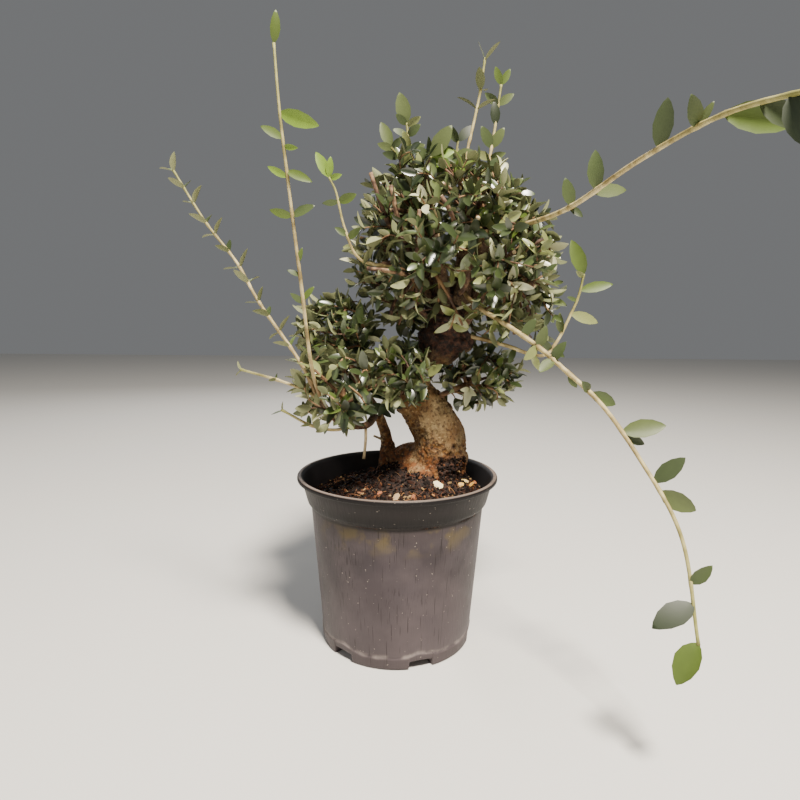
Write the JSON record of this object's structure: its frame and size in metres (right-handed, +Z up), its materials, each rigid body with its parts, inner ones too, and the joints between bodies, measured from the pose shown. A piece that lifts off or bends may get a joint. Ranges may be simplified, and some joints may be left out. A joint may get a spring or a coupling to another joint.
{
  "type": "potted wild olive tree",
  "caption": "Small bent-trunked wild olive tree with a domed leafy crown and long loose shoots, growing in a plain round tapered nursery pot.",
  "frame": {"origin": "middle of the pot's flat underside", "axes": "+Z up along the pot's axis; -Y towards the side that the picture shows as the front; +X to the viewer's right"},
  "size_m": [0.3392, 0.3518, 0.4585],
  "materials": {
    "pot": "weathered satin",
    "soil": "loose, matt",
    "bark": "rough bark",
    "bough": "fine bark",
    "leaf": "leathery, satin",
    "shoot": "leathery, satin"
  },
  "bodies": {
    "root": {"pot": "pot", "soil": "soil", "trunk": "bark", "second_stem": "bark", "bough_top": "bough", "bough_upper_front": "bough", "bough_upper_right": "bough", "bough_upper_back_right": "bough", "bough_upper_back_left": "bough", "bough_upper_left": "bough", "bough_lower_front_right": "bough", "bough_lower_right": "bough", "bough_lower_back_right": "bough", "bough_lower_back_left": "bough", "bough_lower_left": "bough", "bough_lower_front_left": "bough", "bough_low_left_front": "bough", "bough_low_left_back": "bough", "foliage_top": "leaf", "foliage_upper_front": "leaf", "foliage_upper_right": "leaf", "foliage_upper_back_right": "leaf", "foliage_upper_back_left": "leaf", "foliage_upper_left": "leaf", "foliage_lower_front_right": "leaf", "foliage_lower_right": "leaf", "foliage_lower_back_right": "leaf", "foliage_lower_back_left": "leaf", "foliage_lower_left": "leaf", "foliage_lower_front_left": "leaf", "foliage_mid_left": "leaf", "foliage_low_left_front": "leaf", "foliage_low_left_back": "leaf", "foliage_neck": "leaf", "foliage_low_right": "leaf", "shoot_drooping": "shoot", "shoot_long_right": "shoot", "shoot_right": "shoot", "shoot_long_left": "shoot", "shoot_tall_left": "shoot", "shoot_thin_left": "shoot", "shoot_low_left": "shoot", "shoot_top": "shoot", "shoot_top_right": "shoot", "shoot_left": "shoot", "shoot_peak": "shoot"}
  },
  "joints": []
}
